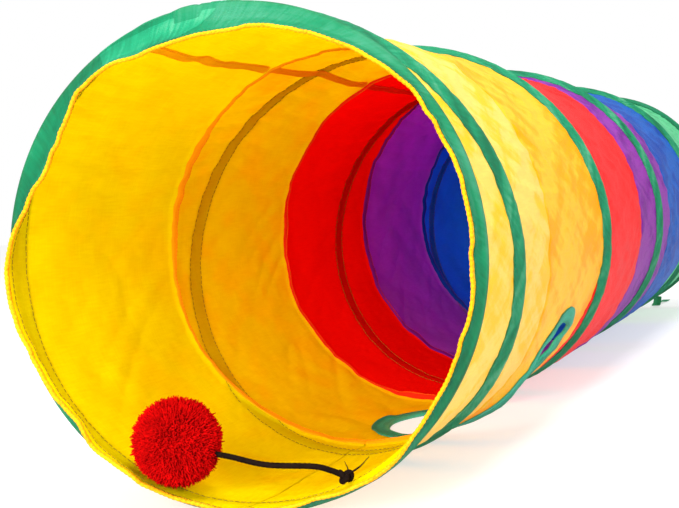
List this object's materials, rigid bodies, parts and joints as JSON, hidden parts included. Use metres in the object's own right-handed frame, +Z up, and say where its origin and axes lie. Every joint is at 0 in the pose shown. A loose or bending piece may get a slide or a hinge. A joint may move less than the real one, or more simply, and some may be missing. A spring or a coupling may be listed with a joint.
{
  "type": "agility tunnel",
  "caption": "Pop-open fabric play tunnel for small pets: coloured cloth bands held round by a spring coil, with a bound peephole, a corded pompom and tie ribbons.",
  "frame": {"origin": "on the floor, in the middle of the flat bottom facet of the front hoop's tape", "axes": "+Z up, +Y along the tunnel from the front mouth to the rear mouth, +X to the right as seen from the front mouth"},
  "size_m": [0.2574, 1.2961, 0.2574],
  "materials": {
    "yellow_cloth": "thin plain-weave polyester, soft satin sheen, slightly see-through",
    "orange_cloth": "thin plain-weave polyester, soft satin sheen, slightly see-through",
    "red_cloth": "thin plain-weave polyester, soft satin sheen",
    "purple_cloth": "thin plain-weave polyester, soft satin sheen",
    "blue_cloth": "thin plain-weave polyester, soft satin sheen",
    "light_green_cloth": "thin plain-weave polyester, soft satin sheen, slightly see-through",
    "green_tape": "folded bias tape, fine weave, sewn along both edges",
    "green_ribbon": "narrow woven ribbon",
    "seam_thread": "overlock thread",
    "spring_wire": "bare spring steel wire",
    "ferrule_steel": "crimped steel sleeve",
    "black_cord": "braided elastic cord",
    "red_yarn": "trimmed yarn pompom"
  },
  "bodies": {
    "front_mouth": {"front_edge_overlock": "seam_thread", "front_hem": "yellow_cloth", "front_hoop_tape": "green_tape", "front_hoop_wire": "spring_wire", "front_hoop_ferrule": "ferrule_steel", "cord_bar_tack": "black_cord", "yellow_band": "yellow_cloth", "length_seam_1": "yellow_cloth", "coil_tape_1": "green_tape", "coil_wire_1": "spring_wire"},
    "seam_1": {"band_seam_1": "seam_thread", "orange_band": "orange_cloth", "length_seam_2": "orange_cloth", "coil_tape_2": "green_tape", "coil_wire_2": "spring_wire", "peephole_binding": "green_tape"},
    "seam_2": {"band_seam_2": "seam_thread", "red_band": "red_cloth", "length_seam_3": "red_cloth", "coil_tape_3": "green_tape", "coil_wire_3": "spring_wire"},
    "seam_3": {"band_seam_3": "seam_thread", "purple_band": "purple_cloth", "length_seam_4": "purple_cloth", "coil_tape_4": "green_tape", "coil_wire_4": "spring_wire"},
    "seam_4": {"band_seam_4": "seam_thread", "blue_band": "blue_cloth", "length_seam_5": "blue_cloth", "coil_tape_5": "green_tape", "coil_wire_5": "spring_wire"},
    "seam_5": {"band_seam_5": "seam_thread", "light_green_band": "light_green_cloth", "length_seam_6": "light_green_cloth", "coil_tape_6": "green_tape", "coil_wire_6": "spring_wire"},
    "rear_mouth": {"rear_hem": "light_green_cloth", "rear_edge_overlock": "seam_thread", "rear_hoop_tape": "green_tape", "rear_hoop_wire": "spring_wire", "rear_hoop_ferrule": "ferrule_steel"},
    "tether_knot": {"cord_knot": "black_cord"},
    "tether_cord": {"elastic_cord": "black_cord"},
    "pompom": {"pompom": "red_yarn"},
    "tie_right": {"tie_ribbon_right": "green_ribbon"},
    "tie_left": {"tie_ribbon_left": "green_ribbon"}
  },
  "joints": [
    {"name": "fold_1", "type": "slide", "parent": "front_mouth", "child": "seam_1", "axis": [0, 1, 0], "range_m": [-0.16, 0], "stiffness_N_per_m": 40, "springref_m": 0.02, "deforming": ["yellow_band", "length_seam_1", "coil_tape_1", "coil_wire_1"]},
    {"name": "fold_2", "type": "slide", "parent": "seam_1", "child": "seam_2", "axis": [0, 1, 0], "range_m": [-0.193, 0], "deforming": ["orange_band", "length_seam_2", "coil_tape_2", "coil_wire_2", "peephole_binding"]},
    {"name": "fold_3", "type": "slide", "parent": "seam_2", "child": "seam_3", "axis": [0, 1, 0], "range_m": [-0.193, 0], "deforming": ["red_band", "length_seam_3", "coil_tape_3", "coil_wire_3"]},
    {"name": "fold_4", "type": "slide", "parent": "seam_3", "child": "seam_4", "axis": [0, 1, 0], "range_m": [-0.193, 0], "deforming": ["purple_band", "length_seam_4", "coil_tape_4", "coil_wire_4"]},
    {"name": "fold_5", "type": "slide", "parent": "seam_4", "child": "seam_5", "axis": [0, 1, 0], "range_m": [-0.193, 0], "deforming": ["blue_band", "length_seam_5", "coil_tape_5", "coil_wire_5"]},
    {"name": "fold_6", "type": "slide", "parent": "seam_5", "child": "rear_mouth", "axis": [0, 1, 0], "range_m": [-0.176, 0], "deforming": ["light_green_band", "length_seam_6", "coil_tape_6", "coil_wire_6"]},
    {"name": "tether_sweep", "type": "hinge", "parent": "front_mouth", "child": "tether_knot", "pos_m": [0.0526, -0.007, 0.02085], "axis": [0, 0, 1], "range_deg": [-60, 60]},
    {"name": "tether_lift", "type": "hinge", "parent": "tether_knot", "child": "tether_cord", "pos_m": [0.0526, -0.007, 0.02085], "axis": [0.1247, 0.9922, 0], "range_deg": [0, 70]},
    {"name": "pompom_tilt", "type": "hinge", "parent": "tether_cord", "child": "pompom", "pos_m": [-0.0413, 0.0048, 0.0361], "axis": [0.1247, 0.9922, 0], "range_deg": [-45, 45]},
    {"name": "tie_right_swing", "type": "hinge", "parent": "rear_mouth", "child": "tie_right", "pos_m": [0.057, 1.1864, 0.0133], "axis": [1, 0, 0], "range_deg": [0, 80]},
    {"name": "tie_left_swing", "type": "hinge", "parent": "rear_mouth", "child": "tie_left", "pos_m": [-0.057, 1.1864, 0.0133], "axis": [1, 0, 0], "range_deg": [0, 80]}
  ],
  "couplings": [
    {"joint": "fold_2", "follows": "fold_1", "ratio": 1.2063},
    {"joint": "fold_3", "follows": "fold_1", "ratio": 1.2063},
    {"joint": "fold_4", "follows": "fold_1", "ratio": 1.2063},
    {"joint": "fold_5", "follows": "fold_1", "ratio": 1.2063},
    {"joint": "fold_6", "follows": "fold_1", "ratio": 1.1}
  ]
}
